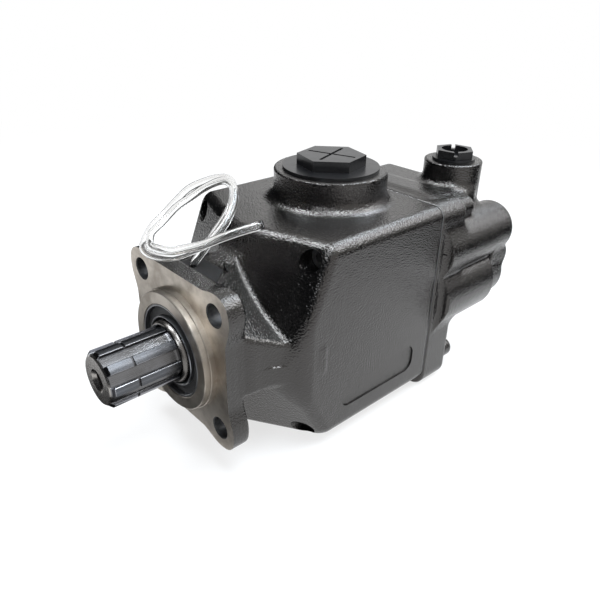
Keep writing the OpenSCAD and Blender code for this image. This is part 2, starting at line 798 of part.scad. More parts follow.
module valve_plate() color("#b2925a") difference() {
  ring(valve_y, cover_y, valve_plate_d, 58);
  pin_place(valve_y - 1, cover_y + 1);
  kidney_slot(valve_y - 1, hidden_far, 100, 160);
  for (a = [-64, -22, 20]) kidney_slot(valve_y - 1, hidden_far, a, 32);
}

// Curved slot on the pistons' circle, from an angle round the shaft
module kidney_slot(y0, y1, from, sweep) {
  r = piston_pitch_d / 2;
  translate([0, y0, 0]) rotate([-90, 0, 0]) rotate([0, 0, from])
    rotate_extrude(angle = sweep) translate([r - kidney_d / 2 + 1, 0]) square([kidney_d - 2, y1 - y0]);
}

module pin_place(y0, y1) bar(y0, y1, pin_d, 0, 1 - valve_plate_d / 2);
module locating_pin() color("#8a8f93") pin_place(valve_y + 1, cover_y + 6);

module cover_gasket() color("#3c3f41") slab_y(seam_y - gasket_t, seam_y) difference() {
  rounded(-body_half + 0.6, -body_bottom + 0.6, body_half - 0.6, body_top - 0.6, body_edge_r);
  circle(d = chamber_d);
  for (p = [[control_x, control_z], [bias_x, bias_z]]) translate(p) circle(arm_pocket_r);
  for (x = [-screw_x, screw_x], z = [-screw_z, screw_z])
    translate([x, z]) circle(d = screw_d + 2 * loose_fit);
}

module rear_cover() color("#26282a") difference() {
  union() {
    slab_y(cover_y, cover_end_y) rounded(-body_half, -cover_bottom, body_half, body_top, cover_edge_r);
    for (x = [-screw_x, screw_x], z = [-screw_z, screw_z])
      domed_bar(cover_end_y - 1, cover_end_y + screw_boss_h, screw_boss_d, x, z, 4);
    bar(cover_end_y - 1, regulator_y, control_od, control_x, control_z);
    bar(cover_end_y - 1, regulator_y, regulator_od, regulator_x, regulator_z);
    translate([port_x, port_y, tower_foot_z]) cylinder(h = port_top - tower_foot_z, d = port_tower_d);
    intersection() {
      translate([port_x, port_y, regulator_z]) cylinder(h = port_top - regulator_z, d = port_tower_d);
      translate([-body_half, 0, -body_half]) cube([body_w, regulator_y, body_w]);
    }
    slab_y(cover_end_y - 1, port_y) rounded(-35, 8, control_x, body_top, 8);
    bar(cover_end_y - 1, cover_end_y + 5, rear_od + 10);
  }
  bar(0, rear_end_y + 0.5, rear_od);
  bar(0, shaft_end_y + 2, rear_id + 6);
  // pressure passage from the valve plate to the tower
  bar(0, port_y, port_channel_d, port_x, port_channel_z);
  translate([port_x, port_y, port_channel_z - port_drop_d / 2]) cylinder(h = hidden_far, d = port_drop_d);
  translate([port_x, port_y, port_top - 20]) cylinder(h = hidden_far, d = port_bore_d);
  // suction pocket from the chamber to the valve plate
  kidney_slot(seam_y - 1, seam_y + 12, 130, 100);
  translate([-chamber_d / 2 + 1, seam_y - 1, -12]) cube([26, 13, 24]);
  // control cylinder with its rod hole, and the regulator's bore
  bar(0, hidden_far + 60, rod_d + 2 * run_fit, control_x, control_z);
  bar(control_bore_y, hidden_far + 60, control_bore_d, control_x, control_z);
  bar(spool_y0 - 4, hidden_far + 60, spool_d, regulator_x, regulator_z);
  bar(spring_pocket2_y, hidden_far + 60, spring_pocket2_d, regulator_x, regulator_z);
  bar(0, seam_y + 10, 8, bias_x, bias_z);
  pin_place(cover_y - 1, cover_y + 6.5);
  for (x = [-screw_x, screw_x], z = [-screw_z, screw_z])
    bar(0, cover_end_y + screw_boss_h - 6, screw_d, x, z);
  regulator_screw_places() bar(regulator_y - 8, regulator_y + 1, regulator_screw_d);
}

module domed_bar(y0, y1, d, x, z, r) {
  turned(0, x, z) {
    translate([0, y0]) square([d / 2, y1 - r - y0]);
    translate([0, y0]) square([d / 2 - r, y1 - y0]);
    intersection() {
      translate([d / 2 - r, y1 - r]) circle(r);
      translate([0, y0]) square([d, d + y1]);
    }
  }
}

module regulator_screw_places() {
  reach = 13.6;
  places = [
    [38, 17], [control_x + 8, control_z + 13.4],
    [regulator_x - reach, regulator_z - reach], [regulator_x + reach, regulator_z - reach]
  ];
  for (p = places) translate([p[0], 0, p[1]]) children();
}

module regulator_body() color("#2a2c2e") difference() {
  union() {
    domed_bar(regulator_y, regulator_end_y, control_end_d, control_x, control_z, 7);
    domed_bar(regulator_y, regulator_end_y, regulator_end_d, regulator_x, regulator_z, 6);
    slab_y(regulator_y, regulator_end_y - 3) rounded(control_x - 19, regulator_z, side_boss_x - 6, control_z, 4);
    intersection() {
      translate([control_x, side_boss_y, side_boss_z]) rotate([0, 90, 0])
        cylinder(h = side_boss_x - control_x, d = side_boss_d);
      translate([0, regulator_y, -body_half]) cube([hidden_far, regulator_l + 1, body_w]);
    }
  }
  bar(0, adjuster_y0 - 0.5, spring_pocket2_d, regulator_x, regulator_z);
  bar(0, hidden_far + 80, adjuster_d + 2 * run_fit, regulator_x, regulator_z);
  bar(0, regulator_y + 8, control_bore_d - 6, control_x, control_z);
  regulator_screw_places() {
    bar(0, hidden_far + 80, regulator_screw_d + 2 * loose_fit);
    bar(regulator_seat_y, hidden_far + 80, 7.4);
  }
}

module regulator_screws() color("#5e6266") regulator_screw_places() difference() {
  union() {
    bar(regulator_seat_y, regulator_seat_y + 4, 7);
    bar(regulator_y - 7, regulator_seat_y + 1, regulator_screw_d);
  }
  translate([0, regulator_seat_y + 2, 0]) rotate([-90, 0, 0]) hex_prism(3, 10);
}

module control_piston() color("#b4b8bb") union() {
  bar(face_y + 0.05, control_head_y + 1, rod_d, control_x, control_z);
  difference() {
    bar(control_head_y, control_head_y + control_head_t, control_bore_d - 2 * run_fit, control_x, control_z);
    for (y = [control_head_y + 4, control_head_y + 9]) difference() {
      bar(y, y + 1.2, control_bore_d + 1, control_x, control_z);
      bar(y - 1, y + 2, control_bore_d - 2.4, control_x, control_z);
    }
  }
}

module bias_piston() color("#a9aeb2") union() {
  bar(face_y + 0.05, face_y + 6, 15.4, bias_x, bias_z);
  bar(face_y + 5, seam_y + 8, 7.6, bias_x, bias_z);
}

module bias_spring() color("#6e7377") coil_spring(face_y + 6.2, seam_y - 0.2, 16, 2.4, 7, bias_x, bias_z);

module spool() color("#c3c7ca") difference() {
  bar(spool_y0, spool_y1, spool_d - 2 * run_fit, regulator_x, regulator_z);
  for (y = [spool_y0 + 6, spool_y0 + 16]) difference() {
    bar(y, y + 5, spool_d + 1, regulator_x, regulator_z);
    bar(y - 1, y + 6, spool_d * 0.6, regulator_x, regulator_z);
  }
}

module spring_seat() color("#9ca1a5") difference() {
  union() {
    bar(spool_y1, spool_y1 + seat_t, spring_od + 3, regulator_x, regulator_z);
    bar(spool_y1, spool_y1 + seat_t + 3, spring_od - 2 * spring_wire - 1, regulator_x, regulator_z);
  }
  bar(spool_y1 - 1, spool_y1 + 2, 6, regulator_x, regulator_z);
}

module regulator_spring() color("#6e7377")
  coil_spring(reg_spring_y0, reg_spring_y1, spring_od, spring_wire, 4, regulator_x, regulator_z);

module adjusting_screw() color("#8f9498") difference() {
  union() {
    bar(adjuster_y0 - adjuster_seat_t, adjuster_y0 - 0.6, spring_od + 3, regulator_x, regulator_z);
    bar(adjuster_y0 - 1, regulator_end_y + nut_h + 6, adjuster_d, regulator_x, regulator_z);
  }
  translate([regulator_x, regulator_end_y + nut_h + 1, regulator_z]) rotate([-90, 0, 0]) hex_prism(5, 10);
}

module lock_nut() color("#8a8f93") difference() {
  translate([regulator_x, regulator_end_y, regulator_z]) rotate([-90, 0, 0]) hex_prism(17, nut_h);
  bar(0, hidden_far + 100, adjuster_d, regulator_x, regulator_z);
}

module long_screws() color("#3a3d40") for (x = [-screw_x, screw_x], z = [-screw_z, screw_z]) difference() {
  union() {
    bar(screw_seat_y - screw_d, screw_seat_y, screw_head_d, x, z);
    bar(screw_seat_y - 1, cover_end_y + screw_boss_h - 7, screw_d, x, z);
  }
  translate([x, screw_seat_y - screw_d - 1, z]) rotate([-90, 0, 0]) hex_prism(6, 6);
}

// Plastic port plug: collar on the boss, hexagon above, hollow stem in the bore
module port_plug(x, y, face, collar_d, collar_t, flats, top, bore_d, stem, turn) {
  translate([x, y, face]) {
    cylinder(h = collar_t, d = collar_d);
    rotate([0, 0, turn]) hex_prism(flats, top);
    translate([0, 0, -stem]) difference() {
      cylinder(h = stem + 1, d = bore_d - 2 * loose_fit);
      translate([0, 0, -1]) cylinder(h = stem, d = bore_d - 6);
    }
  }
}

module suction_plug() color("#1c1d1f") difference() {
  port_plug(
    0, suction_y, suction_top, suction_collar_d, 1.8, suction_hex, suction_plug_h, suction_bore_d, 14, 45
  );
  translate([0, suction_y, suction_top + suction_plug_h]) for (a = [20, 110])
    rotate([0, 0, a]) cube([suction_hex - 6, 2.2, 2.4], center = true);
}

module pressure_plug() color("#1c1d1f") difference() {
  port_plug(port_x, port_y, port_top, 31.6, 1.6, port_hex, 7.6, port_bore_d, 12, 10);
  translate([port_x, port_y, port_top + 1.6]) cylinder(h = 20, d = port_hex - 6);
  translate([port_x, port_y, port_top + 6.7]) rotate([0, 0, 40]) cube([3, port_hex + 4, 4], center = true);
}

// Route of the clear tube: up out of the leak block, two loose turns, and a free end
tube_route = [
  [-4, 16, 46], [-4, 16, 51], [1, 21, 61], [5, 26, 71], [6, 34, 80], [3, 42, 87], [-5, 49, 93],
  [-15, 53, 95], [-26, 53, 93], [-36, 49, 89], [-43, 41, 84], [-46, 33, 77], [-46, 23, 70], [-44, 13, 65],
  [-38, 4, 61], [-29, -3, 59], [-18, -5, 59], [-6, -4, 61], [4, -1, 64], [13, 4, 69], [20, 11, 74],
  [21, 21, 81], [18, 30, 88], [11, 38, 93], [2, 43, 97], [-9, 44, 97], [-18, 38, 92], [-23, 30, 86],
  [-27, 21, 80], [-27, 11, 73], [-24, 1, 69], [-15, -5, 66], [-4, -7, 68], [8, -5, 70], [18, -2, 74],
  [28, 3, 78], [36, 10, 83], [43, 18, 87], [51, 27, 91]
];

main_housing();
leak_block();
leak_tube();
outer_seal();
inner_seal();
leak_ring();
seal_circlip();
front_cup();
front_cone();
front_rollers();
front_cage();
rear_cup();
rear_cone();
rear_rollers();
rear_cage();
drive_shaft();
cradle();
cradle_shells();
swashplate();
retainer_plate();
ball_guide();
block_spring();
cylinder_block();
valve_plate();
locating_pin();
cover_gasket();
rear_cover();
regulator_body();
regulator_screws();
control_piston();
bias_piston();
bias_spring();
spool();
spring_seat();
regulator_spring();
adjusting_screw();
lock_nut();
long_screws();
suction_plug();
pressure_plug();
for (i = [1 : piston_count]) piston(i);
for (i = [1 : piston_count]) slipper(i);
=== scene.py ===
import json
import math

import bpy
import numpy as np
from mathutils import Matrix, Vector

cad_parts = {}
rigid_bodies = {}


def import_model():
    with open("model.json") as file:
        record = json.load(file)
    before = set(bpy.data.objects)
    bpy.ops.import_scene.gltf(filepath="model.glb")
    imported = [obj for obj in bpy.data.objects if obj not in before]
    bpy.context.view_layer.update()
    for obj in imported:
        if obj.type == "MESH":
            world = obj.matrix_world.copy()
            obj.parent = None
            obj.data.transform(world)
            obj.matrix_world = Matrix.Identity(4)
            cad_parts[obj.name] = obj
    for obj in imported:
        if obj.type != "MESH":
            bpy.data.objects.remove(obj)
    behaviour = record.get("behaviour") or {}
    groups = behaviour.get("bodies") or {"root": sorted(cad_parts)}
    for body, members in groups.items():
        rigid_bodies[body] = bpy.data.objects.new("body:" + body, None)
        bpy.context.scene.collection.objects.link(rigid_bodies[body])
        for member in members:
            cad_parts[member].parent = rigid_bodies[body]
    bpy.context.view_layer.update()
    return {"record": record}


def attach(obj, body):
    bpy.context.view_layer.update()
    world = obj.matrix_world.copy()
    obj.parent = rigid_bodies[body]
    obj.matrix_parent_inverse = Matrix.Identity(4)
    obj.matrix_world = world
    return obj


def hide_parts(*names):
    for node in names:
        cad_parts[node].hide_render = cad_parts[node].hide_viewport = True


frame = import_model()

MM = 0.001
PUMP = "pump"
GRID = 1.0


# Camera, at the photograph's angle

AZIMUTH, ELEVATION, ROLL = (math.radians(a) for a in (47.327, 28.473, 1.243))
CAMERA_PLACE = (0.283212, -0.159271, 0.206931)
IMAGE_WIDTH, FOCAL_PIXELS = 600, 596.334


def place_camera():
    forward = Vector((
        -math.sin(AZIMUTH) * math.cos(ELEVATION),
        math.cos(AZIMUTH) * math.cos(ELEVATION),
        -math.sin(ELEVATION),
    ))
    level = Vector((math.cos(AZIMUTH), math.sin(AZIMUTH), 0))
    upright = level.cross(forward)
    right = math.cos(ROLL) * level + math.sin(ROLL) * upright
    up = math.cos(ROLL) * upright - math.sin(ROLL) * level
    data = bpy.data.cameras.new("camera")
    data.sensor_fit = "HORIZONTAL"
    data.angle = 2 * math.atan(IMAGE_WIDTH / 2 / FOCAL_PIXELS)
    data.clip_start = 0.01
    camera = bpy.data.objects.new("camera", data)
    turn = Matrix((right, up, -forward)).transposed().to_4x4()
    camera.matrix_world = Matrix.Translation(CAMERA_PLACE) @ turn
    bpy.context.scene.collection.objects.link(camera)
    bpy.context.scene.camera = camera


place_camera()


# Shader maths: one wrapped socket, with Python's operators

class Wire:
    def __init__(self, tree, socket):
        self.tree, self.socket = tree, socket

    def node(self, kind, settings=None, output=0, **values):
        made = self.tree.nodes.new("ShaderNode" + kind)
        for name, value in (settings or {}).items():
            if name == "stops":
                ramp = made.color_ramp
                while len(ramp.elements) < len(value):
                    ramp.elements.new(0.5)
                for element, (position, color) in zip(ramp.elements, value):
                    element.position = position
                    element.color = (*color, 1) if hasattr(color, "__len__") else (color,) * 3 + (1,)
            else:
                setattr(made, name, value)
        for name, value in values.items():
            key = int(name[1:]) if name[1:].isdigit() else name.replace("_", " ")
            socket = made.inputs[key]
            if isinstance(value, Wire):
                self.tree.links.new(value.socket, socket)
            else:
                socket.default_value = value
        return Wire(self.tree, made.outputs[output])

    def maths(self, operation, *others):
        numbers = {f"i{k}": value for k, value in enumerate((self, *others))}
        return self.node("Math", {"operation": operation}, **numbers)

    def __add__(self, other):
        return self.maths("ADD", other)

    def __sub__(self, other):
        return self.maths("SUBTRACT", other)

    def __rsub__(self, other):
        return self.node("Math", {"operation": "SUBTRACT"}, i0=other, i1=self)

    def __mul__(self, other):
        return self.maths("MULTIPLY", other)

    __radd__, __rmul__ = __add__, __mul__

    def band(self, start, end):
        """0 below start, 1 above end, and smooth between."""
        return self.node("MapRange", {"interpolation_type": "SMOOTHSTEP"}, i0=self, i1=start, i2=end)

    def color(self, low, high):
        """A colour from low to high as the number goes from 0 to 1."""
        return self.node("Mix", {"data_type": "RGBA"}, output=2, i0=self, i6=(*low, 1), i7=(*high, 1))

    def over(self, below, above):
        """The colour below where this mask is 0, and above where it is 1."""
        return self.node("Mix", {"data_type": "RGBA"}, output=2, i0=self, i6=below, i7=above)


def finish(name, build, metallic=0.0, specular=0.5, tint=(1.0, 1.0, 1.0)):
    """A material; build returns its base colour, roughness and bump height in metres, or None."""
    material = bpy.data.materials.new(name)
    material.use_nodes = True
    tree = material.node_tree
    shader = tree.nodes["Principled BSDF"]
    shader.inputs["Metallic"].default_value = metallic
    shader.inputs["Specular IOR Level"].default_value = specular
    shader.inputs["Specular Tint"].default_value = (*tint, 1)
    place = Wire(tree, None).node("TexCoord", output=3)
    base, roughness, height = build(place)
    for name, value in (("Base Color", base), ("Roughness", roughness)):
        if isinstance(value, Wire):
            tree.links.new(value.socket, shader.inputs[name])
        else:
            shader.inputs[name].default_value = (*value, 1) if name == "Base Color" else value
    if height is not None:
        bump = height.node("Bump", i0=1.0, i1=1.0, Height=height)
        tree.links.new(bump.socket, shader.inputs["Normal"])
    return material


def noise(place, scale, detail=2.0, roughness=0.5, stretch=None):
    if stretch is not None:
        place = place.node("VectorMath", {"operation": "MULTIPLY"}, i0=place, i1=stretch)
    return place.node("TexNoise", Vector=place, Scale=scale, Detail=detail, Roughness=roughness)


def parts_of(place):
    return [place.node("SeparateXYZ", output=k, i0=place) for k in range(3)]


def paint(place):
    """Gloss black over a sand-cast skin: grains of about a millimetre on slow swells."""
    grain = noise(place, 820, 1.0, 0.5)
    swell = noise(place, 130, 2.0)
    worn = noise(place, 45, 4.0, 0.6)
    height = grain * 0.00043 + swell * 0.00014
    base = worn.band(0.35, 0.75).color((0.0009, 0.0009, 0.00095), (0.002, 0.0019, 0.0018))
    return base, worn * 0.1 + 0.13, height


def turned_steel(place):
    """Bare steel, turned about the pump's axis: fine rings, and a faint brown bloom."""
    x, y, z = parts_of(place)
    radius = (x * x + z * z).maths("SQRT")
    rings = place.node("TexNoise", {"noise_dimensions": "1D"}, W=radius, Scale=2600.0, Detail=2.0)
    bloom = noise(place, 38, 5.0, 0.62)
    fine = noise(place, 900, 2.0)
    base = bloom.band(0.34, 0.66).color((0.56, 0.51, 0.45), (0.30, 0.262, 0.222))
    return base, bloom * 0.14 + 0.28 + fine * 0.06, rings * 0.00002 + fine * 0.000006


def ground_steel(place):
    bloom = noise(place, 55, 4.0, 0.6)
    lines = noise(place, 260, 3.0, 0.6, (9.0, 0.35, 9.0))
    base = bloom.band(0.3, 0.75).color((0.42, 0.42, 0.43), (0.25, 0.255, 0.27))
    return base, lines * 0.16 + 0.24, lines * 0.000014


def shaft_steel(place):
    """Hardened steel: blued crests with a painted highlight on their chamfered edges, near-black flanks
    (black oxide, deepened with painted shade) and ground grooves.
    """
    x, y, z = parts_of(place)
    radius = (x * x + z * z).maths("SQRT")
    outwards = radius.node("MapRange", i0=radius, i1=0.015, i2=0.020)
    # from the tip's face outwards: ground grooves, flanks darkened with painted shade, chamfers with a
    # painted highlight, crests and the sleeve
    stops = [
        (0.10, (0.34, 0.32, 0.30)), (0.18, (0.17, 0.17, 0.175)),
        (0.235, (0.17, 0.17, 0.175)), (0.26, (0.03, 0.03, 0.033)),
        (0.52, (0.04, 0.04, 0.045)), (0.56, (0.45, 0.45, 0.47)),
        (0.595, (0.085, 0.09, 0.10)), (0.8, (0.16, 0.15, 0.14)),
    ]
    # painted light by radius: the dark flank band, which also colours the floor of the groove across the
    # crests, is painted shade, and the bright band on the crests' chamfers is a painted highlight
    lit_and_shaded_zones = outwards.node("ValToRGB", {"stops": stops}, Fac=outwards)
    bloom = noise(place, 70, 4.0, 0.6)
    lines = noise(place, 320, 3.0, 0.6, (9.0, 0.3, 9.0))
    base = (bloom.band(0.3, 0.75) * 0.4).over(lit_and_shaded_zones, (0.08, 0.075, 0.07, 1))
    return base, lines * 0.14 + 0.2, lines * 0.00002


def bright_steel(place):
    lines = noise(place, 300, 2.0, 0.5, (4.0, 0.6, 4.0))
    base = lines.band(0.2, 0.8).color((0.62, 0.62, 0.63), (0.48, 0.48, 0.49))
    return base, lines * 0.12 + 0.2, lines * 0.000006


def spring_steel(place):
    marks = noise(place, 400, 3.0)
    base = marks.band(0.3, 0.7).color((0.20, 0.20, 0.21), (0.12, 0.12, 0.125))
    return base, marks * 0.15 + 0.3, marks * 0.00001


def black_steel(place):
    marks = noise(place, 350, 4.0, 0.6)
    base = marks.band(0.35, 0.8).color((0.035, 0.035, 0.037), (0.075, 0.073, 0.07))
    return base, marks * 0.2 + 0.35, marks * 0.00002


def cast_grey(place):
    grain = noise(place, 500, 3.0, 0.6)
    base = grain.band(0.3, 0.8).color((0.11, 0.115, 0.12), (0.20, 0.20, 0.205))
    return base, grain * 0.2 + 0.45, grain * 0.00006


def bronze(place):
    marks = noise(place, 180, 4.0, 0.6)
    base = marks.band(0.3, 0.75).color((0.55, 0.37, 0.16), (0.38, 0.24, 0.10))
    return base, marks * 0.2 + 0.28, marks * 0.00001


def rubber(place):
    marks = noise(place, 600, 3.0)
    base = marks.band(0.2, 0.8).color((0.010, 0.010, 0.011), (0.022, 0.021, 0.021))
    return base, marks * 0.15 + 0.42, marks * 0.00002


def gasket(place):
    marks = noise(place, 900, 3.0)
    base = marks.band(0.2, 0.8).color((0.035, 0.037, 0.038), (0.06, 0.06, 0.06))
    return base, marks * 0.1 + 0.7, marks * 0.00003


def plastic(place):
    """Moulded black plastic: a soft sheen, with flow marks and light scuffs."""
    flow = noise(place, 160, 3.0, 0.5)
    scuffs = noise(place, 700, 4.0, 0.7, (1.0, 4.0, 1.0))
    base = scuffs.band(0.55, 0.85).color((0.004, 0.004, 0.0045), (0.011, 0.011, 0.011))
    return base, flow * 0.12 + 0.24, flow * 0.00005 + scuffs * 0.000008


def satin_plastic(place):
    flow = noise(place, 220, 3.0, 0.5)
    base = flow.band(0.3, 0.7).color((0.004, 0.004, 0.004), (0.007, 0.007, 0.0072))
    return base, flow * 0.1 + 0.42, flow * 0.00004


FINISHES = {
    # the warm specular tint on the black paint is a painted reflection colour: it makes the white floor and
    # lamps reflect warm grey in the side faces
    "cast_black": finish("cast_black", paint, specular=0.72, tint=(1.0, 0.95, 0.91)),
    "turned_face": finish("turned_face", turned_steel, metallic=1.0),
    "machined_steel": finish("machined_steel", ground_steel, metallic=1.0),
    "shaft_steel": finish("shaft_steel", shaft_steel, metallic=1.0),
    "bearing_steel": finish("bearing_steel", bright_steel, metallic=1.0),
    "spring_steel": finish("spring_steel", spring_steel, metallic=1.0),
    "dark_steel": finish("dark_steel", black_steel, metallic=0.7),
    "cast_grey": finish("cast_grey", cast_grey, metallic=0.3),
    "bronze": finish("bronze", bronze, metallic=1.0),
    "seal_rubber": finish("seal_rubber", rubber),
    "gasket_sheet": finish("gasket_sheet", gasket),
    "plug_plastic": finish("plug_plastic", plastic),
    "leak_plastic": finish("leak_plastic", satin_plastic, specular=0.2),
}


def clear_plastic():
    """Clear tube: mostly seen through, with a pale body where the wall is looked along."""
    material = bpy.data.materials.new("clear_tube")
    material.use_nodes = True
    tree = material.node_tree
    shader = tree.nodes["Principled BSDF"]
    for name, value in (("Roughness", 0.03), ("IOR", 1.36), ("Transmission Weight", 1.0)):
        shader.inputs[name].default_value = value
    shader.inputs["Base Color"].default_value = (0.95, 0.95, 0.945, 1)
    place = Wire(tree, None).node("TexCoord", output=3)
    haze = noise(place, 240, 3.0)
    bump = haze.node("Bump", i0=0.35, i1=1.0, Height=haze * 0.00006)
    tree.links.new(bump.socket, shader.inputs["Normal"])
    return material


FINISHES["clear_tube"] = clear_plastic()

for entry in frame["record"]["subparts"]:
    cad = bpy.data.objects[entry["node"]]
    cad.data.materials.clear()
    cad.data.materials.append(FINISHES[entry["material_slot"]])


# The clear tube: a hollow wall swept along the route, open at its cut end

TUBE_ROUTE = (
    (-4, 16, 46), (-4, 16, 51), (1, 21, 61), (5, 26, 71), (6, 34, 80), (3, 42, 87), (-5, 49, 93),
    (-15, 53, 95), (-26, 53, 93), (-36, 49, 89), (-43, 41, 84), (-46, 33, 77), (-46, 23, 70), (-44, 13, 65),
    (-38, 4, 61), (-29, -3, 59), (-18, -5, 59), (-6, -4, 61), (4, -1, 64), (13, 4, 69), (20, 11, 74),
    (21, 21, 81), (18, 30, 88), (11, 38, 93), (2, 43, 97), (-9, 44, 97), (-18, 38, 92), (-23, 30, 86),
    (-27, 21, 80), (-27, 11, 73), (-24, 1, 69), (-15, -5, 66), (-4, -7, 68), (8, -5, 70), (18, -2, 74),
    (28, 3, 78), (36, 10, 83), (43, 18, 87), (51, 27, 91),
)
TUBE_D, TUBE_BORE = 5.0, 3.2


def smooth_line(points, between):
    """Catmull-Rom points through a route, with its ends kept."""
    p = np.array(points, float)
    p = np.vstack([2 * p[0] - p[1], p, 2 * p[-1] - p[-2]])
    t = np.arange(between)[:, None] / between
    runs = [
        0.5 * (2 * b + (c - a) * t + (2 * a - 5 * b + 4 * c - d) * t**2 + (3 * b - a - 3 * c + d) * t**3)
        for a, b, c, d in zip(p, p[1:], p[2:], p[3:])
    ]
    return np.vstack(runs + [p[-2:-1]])


def mesh_object(name, points, faces, smooth=True):
    mesh = bpy.data.meshes.new(name)
    mesh.from_pydata(np.asarray(points, float) * MM, [], [tuple(int(k) for k in f) for f in faces])
    mesh.validate()
    made = bpy.data.objects.new(name, mesh)
    bpy.context.scene.collection.objects.link(made)
    mesh.shade_smooth() if smooth else mesh.shade_flat()
    return made


def bands(rings, sides, closed=False):
    """Quads between rings that each have the same number of points."""
    faces = []
    for i in range(rings if closed else rings - 1):
        here, there = i * sides, (i + 1) % rings * sides
        for k in range(sides):
            after = (k + 1) % sides
            faces.append((here + k, here + after, there + after, there + k))
    return faces


def sweep_wall(name, line, radii, sides):
    """A tube with an outer and an inner wall that meet at both ends."""
    heading = np.gradient(line, axis=0)
    heading /= np.linalg.norm(heading, axis=1)[:, None]
    side = np.cross(heading[0], (0.3, 1.0, 0.1))
    rows = []
    for point, way in zip(line, heading):
        side = side - way * side.dot(way)
        side /= np.linalg.norm(side)
        rows.append((point, side, np.cross(way, side)))
    angle = 2 * np.pi * np.arange(sides) / sides
    walls = [
        np.array([p + r * (np.cos(a) * s + np.sin(a) * u) for a in angle])
        for r, order in ((radii[0], rows), (radii[1], rows[::-1]))
        for p, s, u in order
    ]
    return mesh_object(name, np.vstack(walls), bands(len(walls), sides, closed=True))


tube_line = smooth_line(TUBE_ROUTE, 4)
leak_tube = sweep_wall("clear_leak_tube", tube_line, (TUBE_D / 2, TUBE_BORE / 2), 20)
leak_tube.data.materials.append(FINISHES["clear_tube"])
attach(leak_tube, PUMP)
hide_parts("leak_tube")


# Distance fields in millimetres, for the cast skins: negative inside

def join(a, b, r=0.0):
    """Both solids, with a fillet of radius r where they meet."""
    if not r:
        return np.minimum(a, b)
    return np.maximum(r, np.minimum(a, b)) - np.hypot(np.maximum(r - a, 0), np.maximum(r - b, 0))


def meet(a, b, r=0.0):
    """What both solids share, with the edge rounded to radius r."""
    if not r:
        return np.maximum(a, b)
    return np.minimum(-r, np.maximum(a, b)) + np.hypot(np.maximum(r + a, 0), np.maximum(r + b, 0))


def cut(a, b, r=0.0):
    return meet(a, -b, r)


def slab(v, low, high):
    return np.maximum(low - v, v - high)


def round_box(u, v, low, high, r):
    """A rectangle with corners of radius r in two directions."""
    du = np.abs(u - (low[0] + high[0]) / 2) - (high[0] - low[0]) / 2 + r
    dv = np.abs(v - (low[1] + high[1]) / 2) - (high[1] - low[1]) / 2 + r
    return np.hypot(np.maximum(du, 0), np.maximum(dv, 0)) + np.minimum(np.maximum(du, dv), 0) - r


def rod(u, v, centre, r):
    return np.hypot(u - centre[0], v - centre[1]) - r


def skin(name, field, low, high, step):
    """The zero surface of a field as quads: a point in each mixed cell, pulled onto the surface."""
    axes = [np.arange(a, b + step, step, dtype=np.float32) for a, b in zip(low, high)]
    x, y, z = np.ix_(*axes)
    values = field(x, y, z) + 0 * (x + y + z)
    inside = values < 0
    shape = [n - 1 for n in values.shape]
    corners = [(i, j, k) for i in (0, 1) for j in (0, 1) for k in (0, 1)]
    filled = sum(
        inside[i:i + shape[0], j:j + shape[1], k:k + shape[2]].astype(np.int8)
        for i, j, k in corners
    )
    mixed = (filled > 0) & (filled < 8)
    cells = np.argwhere(mixed)
    number = np.full(shape, -1, np.int32)
    number[mixed] = np.arange(len(cells))
    total, hits = np.zeros((len(cells), 3)), np.zeros(len(cells))
    for corner in corners:
        for axis in range(3):
            if corner[axis]:
                continue
            first = cells + corner
            second = first + np.eye(3, dtype=int)[axis]
            a, b = values[tuple(first.T)], values[tuple(second.T)]
            crossed = (a < 0) != (b < 0)
            share = np.where(crossed, a / np.where(crossed, a - b, 1), 0)
            step_in = np.outer(share, np.eye(3)[axis]) + corner
            total += step_in * crossed[:, None]
            hits += crossed
    points = np.array(low) + step * (cells + total / hits[:, None])
    for _ in range(2):
        here = field(*points.T)
        slope = np.stack([(field(*(points + 0.05 * e).T) - here) / 0.05 for e in np.eye(3)], axis=1)
        move = -here[:, None] * slope / np.maximum((slope**2).sum(axis=1), 0.25)[:, None]
        points += np.clip(move, -0.3 * step, 0.3 * step)
    quads = []
    for axis in range(3):
        one, two = [a for a in range(3) if a != axis]
        lower = [slice(None)] * 3
        upper = [slice(None)] * 3
        lower[axis], upper[axis] = slice(0, -1), slice(1, None)
        for inner in (one, two):
            lower[inner] = upper[inner] = slice(1, -1)
        a, b = inside[tuple(lower)], inside[tuple(upper)]
        for leaving in (True, False):
            spots = np.argwhere((a & ~b) if leaving else (~a & b))
            ring = []
            for back in ((1, 1), (0, 1), (0, 0), (1, 0)):
                spot = spots.copy()
                spot[:, one] += 1 - back[0]
                spot[:, two] += 1 - back[1]
                ring.append(number[tuple(spot.T)])
            ring = np.stack(ring, axis=1)
            forward = leaving == (axis != 1)
            quads.append(ring if forward else ring[:, ::-1])
    return mesh_object(name, points, np.vstack(quads))


# Solids for machining

def capped(rings, sides):
    """Quads between rings, and a flat face on the first and last ring."""
    last = (rings - 1) * sides
    return bands(rings, sides) + [tuple(range(sides))[::-1], tuple(range(last, last + sides))]


def lathe(name, profile, at=(0, 0, 0), axis="y", sides=96):
    """A closed solid turned from (along, radius) points, about an axis through a point."""
    rings = []
    angle = 2 * np.pi * (np.arange(sides) + 0.5) / sides
    for along, radius in profile:
        u, v = radius * np.cos(angle), radius * np.sin(angle)
        w = np.full(sides, float(along))
        rings.append(np.stack({"y": (v, w, u), "z": (u, v, w), "x": (w, u, v)}[axis], axis=1))
    faces = capped(len(profile), sides)
    return mesh_object(name, np.vstack(rings) + at, faces, smooth=False)


def bar(name, ends, r, at=(0, 0), axis="y", chamfer=None):
    """A cylinder between two places on an axis; chamfer = (place, depth) widens it at a mouth."""
    profile = [(ends[0], r), (ends[1], r)]
    if chamfer:
        place, depth = chamfer
        profile = [(ends[0], r + depth + place - ends[0]), (place + depth, r), (ends[1], r)]
    point = {"y": (at[0], 0, at[1]), "z": (at[0], at[1], 0), "x": (0, at[0], at[1])}[axis]
    return lathe(name, profile, point, axis)


